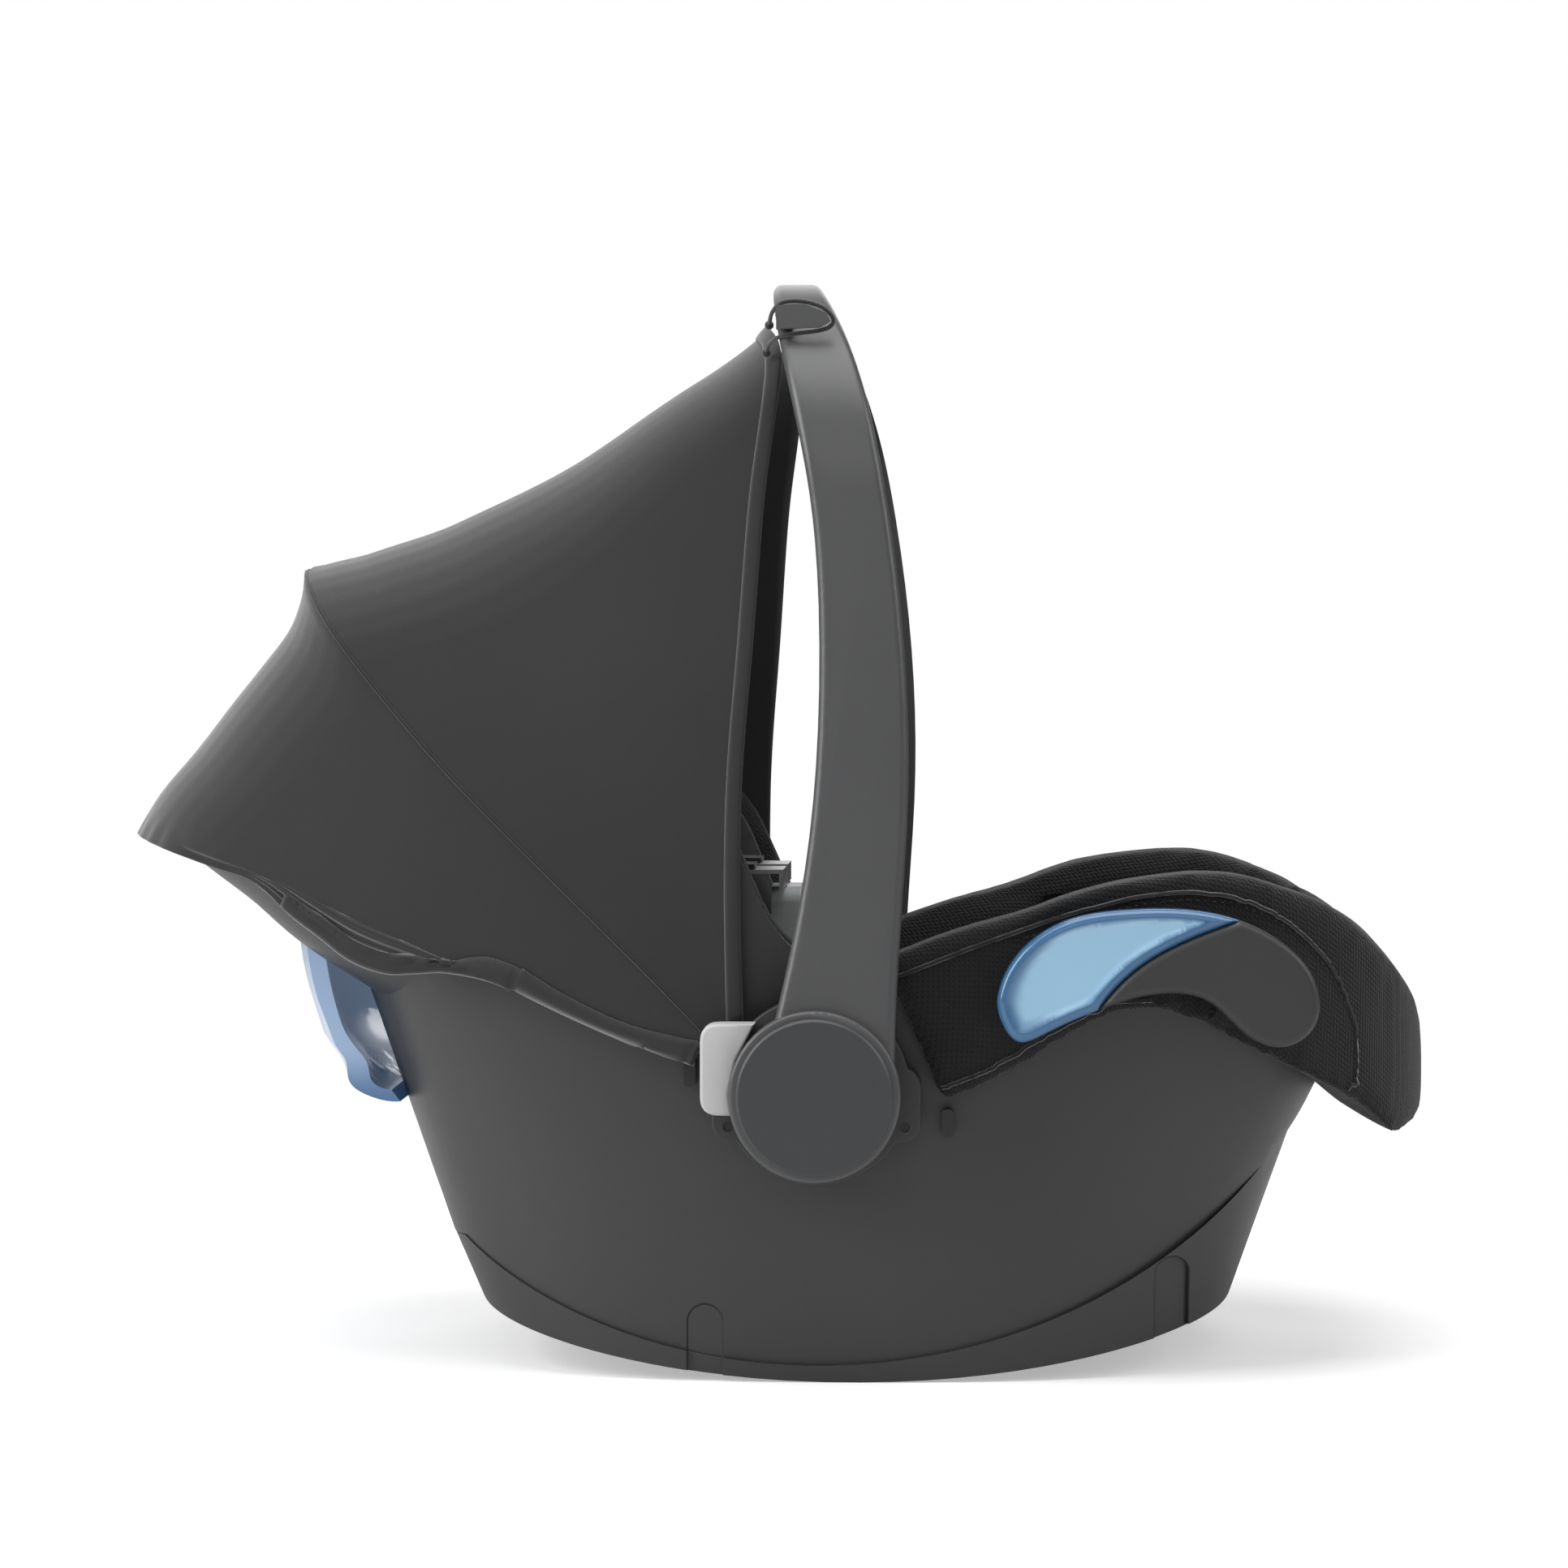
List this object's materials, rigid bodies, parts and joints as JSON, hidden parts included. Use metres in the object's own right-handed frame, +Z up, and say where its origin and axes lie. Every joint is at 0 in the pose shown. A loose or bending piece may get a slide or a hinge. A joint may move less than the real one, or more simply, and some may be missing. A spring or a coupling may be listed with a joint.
{
  "type": "infant car seat",
  "caption": "Rear-facing infant carrier: rocker shell, swinging carry handle, folding canopy, padded cover, harness, belt guides.",
  "frame": {"origin": "on the floor under the middle of the seat", "axes": "+X towards the foot end, +Y towards the seat's left side, +Z up"},
  "size_m": [0.688, 0.44, 0.558],
  "materials": {
    "shell_plastic": "moulded polypropylene, satin grain",
    "handle_plastic": "moulded, satin",
    "lining_plastic": "moulded, matt",
    "foam": "expanded foam shell",
    "cover_fabric": "padded woven cover",
    "hugger_fabric": "padded jersey",
    "canopy_fabric": "stretch woven cloth",
    "steel": "zinc plated",
    "button_grey": "satin",
    "elastic": "braided elastic cord",
    "webbing": "woven webbing",
    "buckle_grey": "satin",
    "key_red": "gloss",
    "guide_blue": "translucent"
  },
  "bodies": {
    "shell": {"shell": "shell_plastic", "foam_liner": "foam", "seat_cover": "cover_fabric", "head_hugger": "hugger_fabric", "hub_plate_right": "shell_plastic", "hub_plate_left": "shell_plastic", "plate_screws_right": "steel", "plate_screws_left": "steel", "pivot_axle_right": "steel", "pivot_axle_left": "steel", "bow_pin_right": "steel", "bow_pin_left": "steel", "canopy_front": "canopy_fabric", "canopy_rear": "canopy_fabric", "shoulder_strap_right": "webbing", "shoulder_strap_left": "webbing", "shoulder_pad_right": "cover_fabric", "shoulder_pad_left": "cover_fabric", "buckle_body": "buckle_grey", "buckle_tongue_right": "steel", "buckle_tongue_left": "steel", "crotch_strap": "webbing", "crotch_pad": "cover_fabric", "harness_yoke": "steel", "adjuster_strap": "webbing", "adjuster_housing": "buckle_grey", "belt_guide_blue_right": "guide_blue", "belt_guide_blue_left": "guide_blue", "belt_guide_cover_right": "shell_plastic", "belt_guide_cover_left": "shell_plastic", "rear_belt_guide": "guide_blue", "canopy_hook_right": "shell_plastic", "canopy_hook_left": "shell_plastic", "cover_hook_right": "shell_plastic", "cover_hook_left": "shell_plastic", "button_spring_right": "steel", "button_spring_left": "steel"},
    "handle": {"handle_frame": "handle_plastic", "handle_lining": "lining_plastic", "hub_cap_right": "handle_plastic", "hub_cap_left": "handle_plastic", "canopy_peg_right": "handle_plastic", "canopy_peg_left": "handle_plastic", "canopy_loop_right": "elastic", "canopy_loop_left": "elastic"},
    "bow": {"canopy_bow": "steel"},
    "release_right": {"release_button_right": "button_grey", "latch_fork_right": "handle_plastic"},
    "release_left": {"release_button_left": "button_grey", "latch_fork_left": "handle_plastic"},
    "buckle_key": {"buckle_button": "key_red"},
    "adjuster_key": {"adjuster_button": "key_red"}
  },
  "joints": [
    {"name": "handle_swing", "type": "hinge", "parent": "shell", "child": "handle", "pos_m": [0.0265, 0, 0.1493], "axis": [0, 1, 0], "range_deg": [-105, 0], "deforming": ["canopy_front", "canopy_rear"]},
    {"name": "canopy_bow_fold", "type": "hinge", "parent": "shell", "child": "bow", "pos_m": [-0.02582, 0, 0.17412], "axis": [0, 1, 0], "range_deg": [-20, 0]},
    {"name": "release_press_right", "type": "slide", "parent": "shell", "child": "release_right", "axis": [1, 0, 0], "range_m": [0, 0.006], "stiffness_N_per_m": 600, "springref_m": -0.002, "deforming": ["button_spring_right"]},
    {"name": "release_press_left", "type": "slide", "parent": "shell", "child": "release_left", "axis": [1, 0, 0], "range_m": [0, 0.006], "stiffness_N_per_m": 600, "springref_m": -0.002, "deforming": ["button_spring_left"]},
    {"name": "buckle_press", "type": "slide", "parent": "shell", "child": "buckle_key", "axis": [-1, 0, 0], "range_m": [0, 0.003], "stiffness_N_per_m": 1500, "springref_m": -0.001},
    {"name": "adjuster_press", "type": "slide", "parent": "shell", "child": "adjuster_key", "axis": [0.4456, 0, -0.8952], "range_m": [0, 0.0015], "stiffness_N_per_m": 1500, "springref_m": -0.001}
  ],
  "couplings": [
    {"joint": "canopy_bow_fold", "follows": "handle_swing", "ratio": 0.19}
  ]
}
